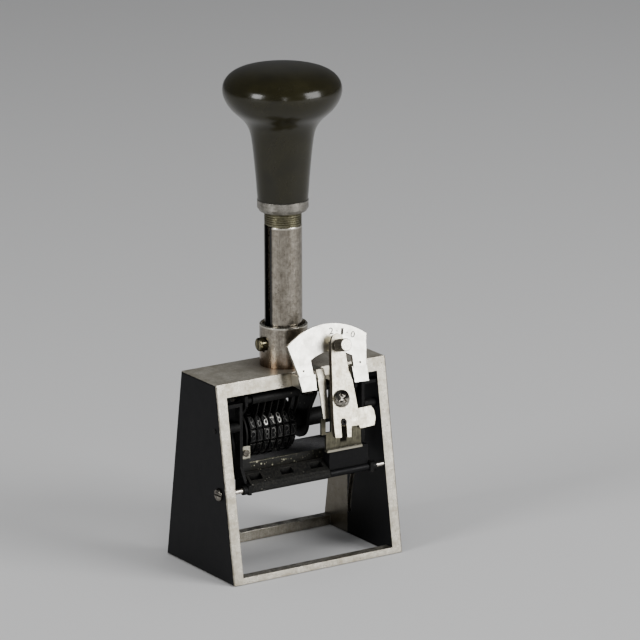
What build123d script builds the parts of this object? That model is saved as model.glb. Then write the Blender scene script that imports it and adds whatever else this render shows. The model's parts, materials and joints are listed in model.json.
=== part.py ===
from build123d import *
from math import atan, cos, pi, radians, sin
import os

os.makedirs("parts", exist_ok=True)

# An automatic self-inking numbering stamp. Millimetres, +Z up, +X to the right of the
# front face, +Y to the rear. The origin is the middle of the frame's foot.

# Frame: a trapezoid seen from the side, one open window from front to back.
FRAME_HALF_W = 36.4
WALL = 4.3
FOOT_HALF_D = 23.2
TOP_HALF_D = 11.75
FRAME_H = 72.0
TOP_BAR = 5.0
FRONT_RAIL_H = 2.3
REAR_RAIL_H = 3.7
RAIL_D = 4.4
INNER_X = FRAME_HALF_W - WALL
BAR_UNDER_Z = FRAME_H - TOP_BAR
LEAN = (FOOT_HALF_D - TOP_HALF_D) / FRAME_H

# Plunger.
STROKE = 39.8
TUBE_R = 6.86
TUBE_BORE_R = 5.6
TUBE_FIT = 0.07
TUBE_TOP_Z = 124.0
SLOT_HALF_W = 1.6
GUIDE_PIN_R = 1.25
GUIDE_PIN_Z = 80.5
COLLAR_R = 8.76
COLLAR_TOP_Z = 87.4
NECK_R = 6.75
NECK_ROOT_R = 6.35
KNOB_FOOT_Z = 133.4
KNOB_BORE_TOP_Z = 165.0

# Crosshead and wheel cage, which ride on the plunger.
HEAD_BOTTOM_Z = 61.5
HEAD_TOP_Z = 66.5
CAGE_X = 22.9
CAGE_T = 1.1
INNER_PLATE_X = 5.6
AXLE_Z = 50.0
AXLE_R = 2.0
AXLE_END_X = 25.3
PAWL_SHAFT_Y = -10.2
PAWL_SHAFT_Z = 64.0
PAWL_SHAFT_R = 1.2

# Number wheels.
WHEEL_COUNT = 7
WHEEL_PLACES = 12
PLACE_DEG = 360 / WHEEL_PLACES
WHEEL_PITCH = 2.85
WHEEL_FIRST_X = -19.2
RIM_W = 2.1
RATCHET_W = 0.45
LAND_R = 9.75
LAND_HALF_W = 2.1
WHEEL_BODY_R = 9.2
RATCHET_R = 7.8
RATCHET_ROOT_R = 6.9
RUNNING_FIT = 0.05

# Ink pad, which swings back around the wheel axle, led by pins in the frame's walls.
PAD_SWING_DEG = 104.0
FOLLOWER_RHO = 6.0
FOLLOWER_START_DEG = -110.0
FOLLOWER_R = 1.2
GROOVE_R = 1.3
GROOVE_DEPTH = 1.5
TRAY_HALF_X = 22.4
TRAY_FRONT_Y = -10.0
TRAY_BACK_Y = 9.0
TRAY_FLOOR_Z = 33.8
SHEET = 0.9

# Guide strips beside the cage, front apron and its cross rod.
STRIP_X = 25.5
STRIP_T = 1.2
ROD_Y = -16.6
ROD_Z = 32.9
ROD_R = 0.95
ROD_SEAT = 1.9
SIDE_SCREW_Y = -13.8
SIDE_SCREW_Z = 32.1
SIDE_SCREW_R = 0.8
APRON_LEFT = -25.2
APRON_RIGHT = 8.3

# The dial and its lever lean back, square to this plane.
DIAL_SLOPE = 0.28
DIAL_LEAN = atan(DIAL_SLOPE)
DIAL_Y = -19.6
DIAL_Z = 71.5
DIAL_CX = 8.1
DIAL_CV = -9.3
DIAL_OUT_R = 27.25
DIAL_IN_R = 17.3
DIAL_T = 1.2
LEVER_TILT_DEG = 5.5
LEVER_BACK = 2.6
LEVER_FRONT = 3.6
FOLD_BACK = 1.6
SCREW_DOME_R = 5.3
PIVOT_FIT_R = 1.25
SLOT_U = 0.35
TAIL_SLOT_R = 1.2
BUTTON_U = 0.6
BUTTON_V = 19.1
BUTTON_R = 2.35
BUTTON_TOP = 8.7
TAB_U = 9.0
TAB_V = -17.0

DIAL = Plane(
    origin=(0, DIAL_Y, DIAL_Z),
    x_dir=(1, 0, 0),
    z_dir=(0, -cos(DIAL_LEAN), sin(DIAL_LEAN)),
)
LEVER = DIAL * Pos(DIAL_CX, DIAL_CV) * Rot(0, 0, -LEVER_TILT_DEG)


def box(x0, x1, y0, y1, z0, z1):
    middle = ((x0 + x1) / 2, (y0 + y1) / 2, (z0 + z1) / 2)
    return Pos(*middle) * Box(abs(x1 - x0), abs(y1 - y0), abs(z1 - z0))


def rod_x(r, x0, x1, y, z):
    return Pos((x0 + x1) / 2, y, z) * Rot(0, 90, 0) * Cylinder(r, abs(x1 - x0))


def rod_y(r, y0, y1, x, z):
    return Pos(x, (y0 + y1) / 2, z) * Rot(90, 0, 0) * Cylinder(r, abs(y1 - y0))


def rod_z(r, z0, z1, x=0.0, y=0.0):
    return Pos(x, y, (z0 + z1) / 2) * Cylinder(r, abs(z1 - z0))


def plate_yz(points, x0, x1):
    """A flat plate with this (y, z) outline, from x0 to x1."""
    outline = Plane.YZ.offset(min(x0, x1)) * Polygon(*points, align=None)
    return extrude(outline, abs(x1 - x0), dir=(1, 0, 0))


def plate_xz(points, y_front, y_back):
    """A flat plate with this (x, z) outline, from y_front back to y_back."""
    outline = Plane.XZ.offset(-y_back) * Polygon(*points, align=None)
    return extrude(outline, y_back - y_front, dir=(0, -1, 0))


def on_plane(location, sketch, low, high):
    """A sketch in a leaning plane, made solid between two heights above the plane."""
    return location * Pos(0, 0, low) * extrude(sketch, high - low, dir=(0, 0, 1))


def disc_on(location, x, y, r, low, high):
    return on_plane(location, Pos(x, y) * Circle(r), low, high)


def turned(points):
    """A solid of revolution about Z from (radius, z) points."""
    return revolve(Plane.XZ * Polygon(*points, align=None), Axis.Z)


def both_sides(shape):
    return shape + mirror(shape, Plane.YZ)


def bar_face_y(z):
    """The y of the frame's front face at a height."""
    return -(TOP_HALF_D + (FRAME_H - z) * LEAN)


def save(node, shape):
    export_step(shape, f"parts/{node}.step")


# ---------------------------------------------------------------- frame


def follower_at(s):
    """The (y, z) of a follower pin after the plunger has gone down s millimetres."""
    angle = radians(FOLLOWER_START_DEG + PAD_SWING_DEG * s / STROKE)
    return FOLLOWER_RHO * cos(angle), AXLE_Z - s + FOLLOWER_RHO * sin(angle)


def cam_groove():
    """The pad's guide groove, cut in the inside of the right wall."""
    steps = 14
    path = [follower_at(STROKE * i / steps) for i in range(steps + 1)]
    sketch = trace(Spline(*path), 2 * GROOVE_R)
    sketch += Pos(*path[0]) * Circle(GROOVE_R) + Pos(*path[-1]) * Circle(GROOVE_R)
    face = Plane.YZ.offset(INNER_X - 0.5) * sketch
    return extrude(face, GROOVE_DEPTH + 0.5, dir=(1, 0, 0))


def make_frame():
    outline = [
        (-FOOT_HALF_D, 0),
        (FOOT_HALF_D, 0),
        (TOP_HALF_D, FRAME_H),
        (-TOP_HALF_D, FRAME_H),
    ]
    frame = plate_yz(outline, -FRAME_HALF_W, FRAME_HALF_W)
    side_edges = frame.edges().filter_by(lambda e: abs(abs(e.center().X) - FRAME_HALF_W) < 0.01)
    frame = fillet(side_edges, 0.7)
    inner = FOOT_HALF_D - RAIL_D
    frame -= box(-INNER_X, INNER_X, -40, 40, REAR_RAIL_H, BAR_UNDER_Z)
    frame -= box(-INNER_X, INNER_X, -40, 0, FRONT_RAIL_H, REAR_RAIL_H + 1)
    frame -= box(-INNER_X, INNER_X, -inner, inner, -1, REAR_RAIL_H + 1)
    frame -= rod_z(TUBE_R + TUBE_FIT, BAR_UNDER_Z - 1, FRAME_H + 1)
    frame -= both_sides(cam_groove())
    frame -= both_sides(rod_x(ROD_R + 0.01, INNER_X - 1, INNER_X + ROD_SEAT, ROD_Y, ROD_Z))
    frame -= rod_x(SIDE_SCREW_R + 0.01, -FRAME_HALF_W - 1, -INNER_X + 1, SIDE_SCREW_Y, SIDE_SCREW_Z)
    frame -= both_sides(rod_x(0.95, INNER_X - 1, FRAME_HALF_W + 1, -11.2, 55.0))
    return frame


def make_collar():
    profile = [
        (TUBE_R + TUBE_FIT, FRAME_H),
        (COLLAR_R, FRAME_H),
        (COLLAR_R, COLLAR_TOP_Z - 0.35),
        (COLLAR_R - 0.35, COLLAR_TOP_Z),
        (7.9, COLLAR_TOP_Z),
        (7.9, COLLAR_TOP_Z - 1.4),
        (TUBE_R + TUBE_FIT, COLLAR_TOP_Z - 1.4),
    ]
    collar = turned(profile)
    collar -= rod_x(GUIDE_PIN_R + 0.02, -9.5, 9.5, 0, GUIDE_PIN_Z)
    return collar - rod_x(3.0, -10.0, -8.25, 0, GUIDE_PIN_Z)


def make_guide_pin():
    pin = rod_x(GUIDE_PIN_R, -8.3, 8.6, 0, GUIDE_PIN_Z)
    head = rod_x(2.5, -10.9, -8.25, 0, GUIDE_PIN_Z)
    rim = head.edges().filter_by(GeomType.CIRCLE).sort_by(Axis.X)[0]
    head = fillet(rim, 0.5)
    return pin + head - box(-11.5, -10.2, -0.35, 0.35, 76, 85)


def make_spring_seat():
    seat = rod_z(5.3, GUIDE_PIN_Z + 0.3, 83.3)
    return seat - rod_x(GUIDE_PIN_R + 0.01, -6, 6, 0, GUIDE_PIN_Z)


def make_side_screw():
    """The screw in the left wall, which holds the foot of the left strip."""
    y, z = SIDE_SCREW_Y, SIDE_SCREW_Z
    shank = rod_x(SIDE_SCREW_R, -FRAME_HALF_W, -STRIP_X, y, z)
    head = rod_x(2.35, -FRAME_HALF_W - 1.0, -FRAME_HALF_W, y, z)
    rim = head.edges().filter_by(GeomType.CIRCLE).sort_by(Axis.X)[0]
    head = fillet(rim, 0.6)
    slot = box(-FRAME_HALF_W - 2, -FRAME_HALF_W - 0.5, y - 3, y + 3, z - 0.3, z + 0.3)
    return shank + head - slot


def make_guide_strip():
    """The right strip beside the wheel cage, with a top foot on the wall and a toe on the rod."""
    outline = [
        (-12.5, 64.0),
        (-9.0, 64.0),
        (-9.0, 31.2),
        (-18.4, 31.2),
        (-18.4, 34.6),
        (-15.6, 34.9),
        (-12.5, 40.0),
    ]
    strip = plate_yz(outline, STRIP_X, STRIP_X + STRIP_T)
    strip += box(26.0, INNER_X, -12.5, -9.0, 62.8, 64.0)
    strip += rod_x(1.7, STRIP_X + STRIP_T, 28.4, ROD_Y, ROD_Z)
    strip -= rod_x(ROD_R + 0.02, 25, 29, ROD_Y, ROD_Z)
    return strip - rod_x(0.95, 25, 27, -11.2, 55.0)


def make_strip_rivets():
    rivet = rod_x(0.93, STRIP_X, FRAME_HALF_W + 0.25, -11.2, 55.0)
    return both_sides(rivet + rod_x(1.7, STRIP_X + STRIP_T, INNER_X, -11.2, 55.0))


def make_apron():
    """The sloping shelf in front of the ink pad, rolled round the cross rod, with blind pockets."""
    outline = [
        (-18.0, 33.4),
        (-16.7, 33.0),
        (-12.7, 35.6),
        (-12.7, 38.1),
        (-17.3, 34.8),
    ]
    apron = plate_yz(outline, APRON_LEFT, APRON_RIGHT)
    apron += rod_x(1.6, APRON_LEFT, APRON_RIGHT, ROD_Y, ROD_Z)
    apron -= rod_x(ROD_R + 0.02, APRON_LEFT - 1, APRON_RIGHT + 1, ROD_Y, ROD_Z)
    for x in (-21.7, -8.5, 4.0):
        apron -= box(x - 2.6, x + 2.6, -16.0, -13.6, 35.3, 40)
    return apron


def make_side_cover():
    """The black box to the right of the apron, on the same rod."""
    front = ROD_Y - 0.3
    cover = box(8.6, 25.2, front, front + 4.2, ROD_Z + 1.0, 41.5)
    cover -= box(9.6, 24.2, front + 0.8, front + 5, ROD_Z, 40.7)
    cover += rod_x(1.45, 8.6, 25.2, ROD_Y, ROD_Z)
    return cover - rod_x(ROD_R + 0.02, 8, 26, ROD_Y, ROD_Z)


# ---------------------------------------------------------------- dial


def dial_point(v, off):
    """The (y, z) of a point in the dial's frame."""
    lean_y = DIAL_Y + v * sin(DIAL_LEAN) - off * cos(DIAL_LEAN)
    return lean_y, DIAL_Z + v * cos(DIAL_LEAN) + off * sin(DIAL_LEAN)


def make_sector():
    """The dial: an arc of plate on two stepped feet, each on a web that joins it to the bar."""
    ring = Circle(DIAL_OUT_R) - Circle(DIAL_IN_R)
    wedge = Polygon((0, 0), (-44, 56.3), (0, 90), (44, 55.2), align=None)
    arc = Pos(DIAL_CX, DIAL_CV) * (ring & wedge)
    left_leg = Polygon((-8.7, 12.2), (-5.6, 0.5), (0.35, 0.4), (0.0, 6.3), (-3.5, 9.5), align=None)
    right_leg = Polygon((24.9, 11.9), (22.9, 0.5), (17.6, 0.6), (17.7, 5.6), (19.5, 9.5), align=None)
    plate = on_plane(DIAL, arc + left_leg + right_leg, -DIAL_T, 0)
    left_foot = Polygon((-5.9, 0.8), (1.2, 0.7), (1.0, -4.95), (-5.1, -4.8), align=None)
    right_foot = Polygon((17.1, 1.2), (23.5, 0.9), (23.3, -5.0), (17.3, -4.7), align=None)
    feet = on_plane(DIAL, left_foot + right_foot, -1.5, -0.3)
    web = [
        dial_point(-4.5, -1.0),
        (bar_face_y(BAR_UNDER_Z + 0.2), BAR_UNDER_Z + 0.2),
        (bar_face_y(71.2), 71.2),
        dial_point(0.0, -1.0),
    ]
    webs = plate_yz(web, -4.4, -3.2) + plate_yz(web, 21.2, 22.4)
    holes = disc_on(DIAL, -3.6, 2.6, 0.4, -3, 1) + disc_on(DIAL, 20.6, 2.2, 0.4, -3, 1)
    return plate + feet + webs - holes


def make_mechanism_plate():
    """The upright plate behind the lever, hung from the top bar by a folded tab."""
    outline = [
        (7.2, 66.0),
        (16.4, 66.0),
        (18.0, 57.0),
        (18.4, 49.7),
        (20.0, 49.6),
        (20.2, 42.4),
        (5.1, 42.4),
        (5.1, 49.2),
        (3.1, 49.2),
        (3.1, 55.3),
        (4.9, 55.3),
        (4.9, 49.8),
        (7.2, 49.8),
    ]
    plate = plate_xz(outline, -20.2, -19.2)
    plate += box(5.1, 20.2, -21.0, -19.2, 42.4, 43.3)
    hook = [
        (-20.2, 65.5),
        (-19.2, 65.5),
        (-19.2, 67.6),
        (bar_face_y(67.6), 67.6),
        (bar_face_y(68.8), 68.8),
        (-20.2, 68.8),
    ]
    return plate + plate_yz(hook, 7.6, 15.5)


def make_dial_posts():
    """The lever's and the tab's pivot posts, riveted to the upright plate."""
    posts = disc_on(DIAL, DIAL_CX, DIAL_CV, 2.6, -3, LEVER_BACK - 0.05)
    posts += disc_on(DIAL, TAB_U, TAB_V, 1.9, -7, 0.1)
    posts += disc_on(DIAL, TAB_U, TAB_V, 0.95, -1, 1.4)
    posts -= disc_on(DIAL, DIAL_CX, DIAL_CV, 1.2, -9, 3)
    return posts - box(0, 20, -20.2, -10, 40, 75)


def make_pivot_screw():
    shank = disc_on(DIAL, DIAL_CX, DIAL_CV, 1.18, -1.0, LEVER_FRONT + 0.3)
    head = disc_on(DIAL, DIAL_CX, DIAL_CV, 3.2, LEVER_FRONT + 0.05, LEVER_FRONT + 1.75)
    head &= LEVER * Pos(0, 0, LEVER_FRONT + 1.75 - SCREW_DOME_R) * Sphere(SCREW_DOME_R)
    recess = LEVER * Pos(0, 0, LEVER_FRONT + 1.4)
    for turn in (38, 128):
        head -= recess * Rot(0, 0, turn) * Box(4.0, 0.95, 1.6)
    return shank + head


def make_click_blade():
    """The bright spring strip beside the lever, bent back over the top bar's face."""
    face = Polygon((1.8, -1.0), (5.1, -1.0), (4.0, -15.6), (1.7, -15.6), align=None)
    blade = on_plane(DIAL, face, -0.6, 0)
    bend = [
        (-20.4, 70.2),
        (-19.8, 70.2),
        (-18.2, 73.0),
        (bar_face_y(70.2), 73.0),
        (bar_face_y(70.2), 73.6),
        (-18.6, 73.6),
    ]
    return blade + plate_yz(bend, 1.8, 5.1)


def make_setting_lever():
    """The pointer lever: a strip with one edge folded back, wide at its pivot, forked at its tail."""
    outline = [
        (-3.5, -13.9),
        (-3.75, -9.6),
        (-3.55, 0.3),
        (-2.5, 21.0),
        (-1.6, 22.8),
        (0.2, 23.5),
        (2.0, 22.8),
        (3.0, 20.5),
        (3.2, 16.3),
        (3.9, 9.9),
        (5.3, 6.2),
        (6.8, -4.3),
        (3.9, -5.5),
        (3.2, -14.0),
    ]
    face = Polygon(*outline, align=None) - Circle(PIVOT_FIT_R)
    face -= Pos(SLOT_U, -12.2) * Rectangle(2 * TAIL_SLOT_R, 7.8)
    face -= Pos(SLOT_U, -8.3) * Circle(TAIL_SLOT_R)
    face -= Pos(BUTTON_U, BUTTON_V) * Circle(0.98)
    lever = on_plane(LEVER, face, LEVER_BACK, LEVER_FRONT)
    fold = Polygon(
        (-3.45, -13.5),
        (-3.72, -9.6),
        (-3.52, 0.3),
        (-2.5, 20.6),
        (-1.7, 20.6),
        (-2.72, 0.3),
        (-2.92, -9.6),
        (-2.65, -13.5),
        align=None,
    )
    return lever + on_plane(LEVER, fold, FOLD_BACK, LEVER_BACK + 0.1)


def make_tail_stud():
    """The eyelet pressed into the round end of the tail's slot."""
    stud = disc_on(LEVER, SLOT_U, -8.5, TAIL_SLOT_R - 0.02, LEVER_BACK, LEVER_FRONT + 0.3)
    return stud - disc_on(LEVER, SLOT_U, -8.5, 0.5, LEVER_BACK - 1, LEVER_FRONT + 1)


def make_lever_button():
    """The knurled button at the lever's top, on a stem that runs through the lever."""
    button = disc_on(LEVER, BUTTON_U, BUTTON_V, BUTTON_R, LEVER_FRONT + 0.05, BUTTON_TOP)
    rims = button.edges().filter_by(GeomType.CIRCLE)
    button = chamfer(rims, 0.25)
    for step in range(24):
        angle = 2 * pi * step / 24
        reach = BUTTON_R + 0.05
        groove = Pos(BUTTON_U + reach * cos(angle), BUTTON_V + reach * sin(angle)) * Circle(0.2)
        button -= on_plane(LEVER, groove, LEVER_FRONT + 0.6, BUTTON_TOP + 0.1)
    return button + disc_on(LEVER, BUTTON_U, BUTTON_V, 0.93, 0.4, LEVER_FRONT + 0.5)


def make_release_tab():
    """The finger tab to the right of the lever, on its own rivet."""
    outline = [
        (7.2, -15.4),
        (12.9, -14.8),
        (15.8, -14.0),
        (21.5, -13.9),
        (22.5, -15.4),
        (22.7, -18.4),
        (21.8, -21.0),
        (15.7, -21.3),
        (15.3, -20.0),
        (11.2, -19.9),
        (7.0, -18.9),
    ]
    face = Polygon(*outline, align=None) - Pos(TAB_U, TAB_V) * Circle(1.0)
    return on_plane(DIAL, face, 0.25, 1.25)


# ---------------------------------------------------------------- plunger


def make_tube():
    """The plunger's tube, slotted from its top down for the guide pin."""
    profile = [
        (TUBE_BORE_R, HEAD_BOTTOM_Z),
        (TUBE_R, HEAD_BOTTOM_Z),
        (TUBE_R, TUBE_TOP_Z - 0.4),
        (TUBE_R - 0.12, TUBE_TOP_Z - 0.12),
        (TUBE_R - 0.4, TUBE_TOP_Z),
        (TUBE_BORE_R, TUBE_TOP_Z),
    ]
    slot = box(-8, 8, -SLOT_HALF_W, SLOT_HALF_W, GUIDE_PIN_Z, TUBE_TOP_Z + 1)
    slot += rod_x(SLOT_HALF_W, -8, 8, 0, GUIDE_PIN_Z)
    return turned(profile) - slot


def make_neck():
    """The threaded neck between the tube and the knob."""
    root = NECK_ROOT_R
    points = [(TUBE_BORE_R, TUBE_TOP_Z), (root, TUBE_TOP_Z)]
    pitch = 0.8
    for turn in range(6):
        foot = TUBE_TOP_Z + 0.2 + turn * pitch
        points += [(root, foot), (NECK_R, foot + 0.3), (NECK_R, foot + 0.5), (root, foot + pitch)]
    points += [(NECK_R, 129.2), (NECK_R, 141.0), (TUBE_BORE_R, 141.0)]
    return turned(points)


def make_ferrule():
    """The metal band round the knob's foot."""
    bore = NECK_R + 0.03
    profile = [
        (bore, 128.7),
        (7.5, 128.7),
        (8.6, 129.2),
        (9.3, 130.4),
        (9.3, KNOB_FOOT_Z - 0.3),
        (9.05, KNOB_FOOT_Z),
        (bore, KNOB_FOOT_Z),
    ]
    return turned(profile)


def make_knob():
    silhouette = [
        (9.15, KNOB_FOOT_Z),
        (9.35, 136.1),
        (9.6, 139.8),
        (9.92, 143.5),
        (10.25, 147.1),
        (10.6, 150.8),
        (11.05, 154.5),
        (11.75, 158.1),
        (12.6, 160.2),
        (14.6, 162.9),
        (17.8, 165.8),
        (20.2, 169.0),
        (21.4, 172.8),
        (20.9, 175.9),
        (18.8, 178.6),
        (14.6, 180.7),
        (8.0, 181.8),
        (0, 182.1),
    ]
    curve = Spline(*silhouette, tangents=[(0.02, 1), (-1, 0)])
    closing = Polyline((0, 182.1), (0, KNOB_FOOT_Z), (9.15, KNOB_FOOT_Z))
    solid = revolve(Plane.XZ * make_face(curve + closing), Axis.Z)
    solid -= rod_z(NECK_R + 0.03, KNOB_FOOT_Z - 1, 141.3)
    return solid - rod_z(5.85, 141, KNOB_BORE_TOP_Z)


def make_spring_cap():
    return rod_z(5.7, 163.7, KNOB_BORE_TOP_Z) + rod_z(3.6, 161.6, 163.7)


def make_return_spring():
    low = 83.3 + 0.65
    high = 163.7 - 0.65
    path = Helix(pitch=(high - low) / 12, height=high - low, radius=4.5, center=(0, 0, low))
    wire = Plane(origin=path @ 0, z_dir=path % 0) * Circle(0.6)
    return sweep(wire, path, is_frenet=True)


def make_crosshead():
    head = box(-CAGE_X, CAGE_X, -8, 8, HEAD_BOTTOM_Z, HEAD_TOP_Z)
    head = chamfer(head.edges().filter_by(Axis.X), 0.5)
    head -= rod_z(TUBE_R + 0.02, 60, 68)
    for y in (-4.5, 4.5):
        head -= both_sides(rod_x(1.1, CAGE_X - 6, CAGE_X + 1, y, 64.2))
    return head


def make_cage_screws():
    screws = []
    for y in (-4.5, 4.5):
        screws.append(rod_x(1.05, CAGE_X - 5, CAGE_X + CAGE_T, y, 64.2))
        head = rod_x(1.8, CAGE_X + CAGE_T, CAGE_X + CAGE_T + 0.8, y, 64.2)
        slot_x = CAGE_X + CAGE_T + 0.8
        screws.append(head - box(slot_x - 0.4, slot_x + 1, y - 3, y + 3, 64.0, 64.4))
    group = Part() + screws
    return both_sides(group)


def make_cage_plate():
    """The right cage plate: it carries the wheel axle and the pawl shaft."""
    outline = [
        (-12.0, 66.0),
        (8.0, 66.0),
        (8.0, 62.2),
        (6.0, 60.8),
        (6.0, AXLE_Z),
        (-6.0, AXLE_Z),
        (-7.0, 55.5),
        (-12.0, 62.2),
    ]
    plate = plate_yz(outline, CAGE_X, CAGE_X + CAGE_T)
    plate += rod_x(6.0, CAGE_X, CAGE_X + CAGE_T, 0, AXLE_Z)
    plate -= rod_x(AXLE_R + 0.01, 22, 25, 0, AXLE_Z)
    plate -= rod_x(PAWL_SHAFT_R + 0.01, 22, 25, PAWL_SHAFT_Y, PAWL_SHAFT_Z)
    for y in (-4.5, 4.5):
        plate -= rod_x(1.1, 22, 25, y, 64.2)
    return plate


def make_inner_plate():
    """The cage plate to the right of the wheels."""
    outline = [
        (-12.0, 66.0),
        (-8.4, 66.0),
        (-8.4, 61.4),
        (6.0, 61.4),
        (6.0, AXLE_Z),
        (-6.0, AXLE_Z),
        (-8.0, 55.5),
        (-12.0, 62.2),
    ]
    right = INNER_PLATE_X + CAGE_T
    plate = plate_yz(outline, INNER_PLATE_X, right)
    plate += rod_x(6.6, INNER_PLATE_X, right, 0, AXLE_Z)
    plate -= rod_x(AXLE_R + 0.01, 5, 8, 0, AXLE_Z)
    return plate - rod_x(PAWL_SHAFT_R + 0.01, 5, 8, PAWL_SHAFT_Y, PAWL_SHAFT_Z)


def make_axle():
    return chamfer(rod_x(AXLE_R, -AXLE_END_X, AXLE_END_X, 0, AXLE_Z).edges(), 0.3)


def make_index_disc():
    return rod_x(9.3, -21.9, -21.2, 0, AXLE_Z) - rod_x(AXLE_R + 0.01, -23, -20, 0, AXLE_Z)


def make_axle_spacers():
    last_right = WHEEL_FIRST_X + (WHEEL_COUNT - 1) * WHEEL_PITCH + RIM_W / 2 + RATCHET_W
    spans = [
        (-CAGE_X, -21.9, 3.2),
        (-21.2, WHEEL_FIRST_X - RIM_W / 2 - 0.15, 3.2),
        (last_right + 0.15, INNER_PLATE_X, 3.6),
        (INNER_PLATE_X + CAGE_T, CAGE_X, 3.2),
    ]
    rings = [rod_x(r, x0, x1, 0, AXLE_Z) for x0, x1, r in spans]
    return Part() + rings - rod_x(AXLE_R + 0.01, -30, 30, 0, AXLE_Z)


def make_pawl_shaft():
    return rod_x(PAWL_SHAFT_R, -CAGE_X - CAGE_T, CAGE_X + CAGE_T, PAWL_SHAFT_Y, PAWL_SHAFT_Z)


def wheel_x(index):
    return WHEEL_FIRST_X + index * WHEEL_PITCH


def make_number_wheel(index):
    """One wheel: a rim with twelve type lands, and its ratchet on the right."""
    x = wheel_x(index)
    left = x - RIM_W / 2
    rim = Circle(WHEEL_BODY_R)
    for place in range(WHEEL_PLACES):
        land = Pos(LAND_R / 2, 0) * Rectangle(LAND_R, 2 * LAND_HALF_W)
        rim += Rot(0, 0, PLACE_DEG * place) * land
    rim -= Circle(AXLE_R + RUNNING_FIT)
    teeth = []
    for tooth in range(WHEEL_PLACES):
        tip = radians(PLACE_DEG * tooth)
        root = radians(PLACE_DEG * tooth + 3)
        teeth.append((RATCHET_R * cos(tip), RATCHET_R * sin(tip)))
        teeth.append((RATCHET_ROOT_R * cos(root), RATCHET_ROOT_R * sin(root)))
    ratchet = Polygon(*teeth, align=None) - Circle(AXLE_R + RUNNING_FIT)
    facing = Plane(origin=(left, 0, AXLE_Z), x_dir=(0, 1, 0), z_dir=(1, 0, 0))
    wheel = facing * extrude(rim, RIM_W, dir=(0, 0, 1))
    return wheel + facing * Pos(0, 0, RIM_W) * extrude(ratchet, RATCHET_W, dir=(0, 0, 1))


def finger_spans():
    """The left and right of each finger that runs in the gaps beside the wheels' rims."""
    gap = WHEEL_PITCH - RIM_W
    for index in range(WHEEL_COUNT):
        middle = wheel_x(index) + RIM_W / 2 + gap / 2
        yield middle - 0.17, middle + 0.17


def make_feed_pawl():
    sleeve_l = -20.6
    sleeve_r = -0.3
    pawl = rod_x(1.75, sleeve_l, sleeve_r, PAWL_SHAFT_Y, PAWL_SHAFT_Z)
    finger = [
        (-11.5, 63.2),
        (-8.9, 63.2),
        (-8.6, 60.6),
        (-6.9, 54.4),
        (-7.4, 54.2),
        (-10.0, 59.0),
    ]
    for x0, x1 in finger_spans():
        pawl += plate_yz(finger, x0, x1)
    fit = PAWL_SHAFT_R + RUNNING_FIT
    return pawl - rod_x(fit, sleeve_l - 1, sleeve_r + 1, PAWL_SHAFT_Y, PAWL_SHAFT_Z)


def make_pawl_spring():
    path = Helix(pitch=0.8, height=4.0, radius=1.75, center=(0, 0, 0))
    wire = Plane(origin=path @ 0, z_dir=path % 0) * Circle(0.24)
    coil = sweep(wire, path, is_frenet=True)
    return Pos(0.9, PAWL_SHAFT_Y, PAWL_SHAFT_Z) * Rot(0, 90, 0) * coil


def make_detent_comb():
    comb = box(-20.6, -0.2, 2.0, 2.6, 60.5, HEAD_BOTTOM_Z)
    for x0, x1 in finger_spans():
        comb += box(x0, x1, 2.0, 2.6, 58.0, 60.6)
    return comb


# ---------------------------------------------------------------- ink pad


def make_pad_tray():
    tray = box(-TRAY_HALF_X, TRAY_HALF_X, TRAY_FRONT_Y, TRAY_BACK_Y, TRAY_FLOOR_Z, 39.2)
    inside = box(
        -TRAY_HALF_X + SHEET,
        TRAY_HALF_X - SHEET,
        TRAY_FRONT_Y + SHEET,
        TRAY_BACK_Y - SHEET,
        TRAY_FLOOR_Z + 1.0,
        45,
    )
    tray -= inside
    lip = box(-TRAY_HALF_X, TRAY_HALF_X, TRAY_FRONT_Y, TRAY_FRONT_Y + SHEET, 39, 40.6)
    return tray + lip


def make_ink_pad():
    felt = box(
        -TRAY_HALF_X + 1.1,
        TRAY_HALF_X - 1.1,
        TRAY_FRONT_Y + 1.1,
        TRAY_BACK_Y - 1.1,
        TRAY_FLOOR_Z + 1.0,
        39.6,
    )
    return fillet(felt.edges().group_by(Axis.Z)[-1], 0.5)


def make_pad_arm():
    """The right arm of the pad carrier, from the axle down to the tray's end."""
    outline = [
        (-4.5, AXLE_Z),
        (4.5, AXLE_Z),
        (5.6, TRAY_FLOOR_Z),
        (-6.6, TRAY_FLOOR_Z),
        (-5.6, 44.0),
    ]
    arm = plate_yz(outline, 24.3, 25.2)
    arm += rod_x(4.5, 24.3, 25.2, 0, AXLE_Z)
    arm += box(TRAY_HALF_X, 24.4, -6.6, 5.6, TRAY_FLOOR_Z, TRAY_FLOOR_Z + 1.2)
    arm -= rod_x(AXLE_R + RUNNING_FIT, 24, 26, 0, AXLE_Z)
    y, z = follower_at(0)
    return arm - rod_x(FOLLOWER_R + 0.01, 24, 26, y, z)


def make_follower_pins():
    y, z = follower_at(0)
    return both_sides(rod_x(FOLLOWER_R, 24.3, INNER_X + GROOVE_DEPTH - 0.2, y, z))


def make_pad_clip():
    clip = box(-24.9, -21.4, -10.9, TRAY_FRONT_Y, 36.0, 47.1)
    clip = fillet(clip.edges().filter_by(Axis.Y).group_by(Axis.Z)[-1], 0.3)
    return clip - rod_y(0.62, -12, -9, -23.35, 44.7)


def make_clip_screw():
    shank = rod_y(0.6, -10.9, -9.6, -23.35, 44.7)
    head = rod_y(1.3, -11.7, -10.9, -23.35, 44.7)
    return shank + head - Pos(-23.35, -11.6, 44.7) * Rot(0, 30, 0) * Box(4, 0.6, 0.4)


# ---------------------------------------------------------------- write every node

right_strip = make_guide_strip()
screw_hole = rod_x(SIDE_SCREW_R + 0.01, -STRIP_X - 2, -STRIP_X + 1, SIDE_SCREW_Y, SIDE_SCREW_Z)
right_cage = make_cage_plate()
right_arm = make_pad_arm()

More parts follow.
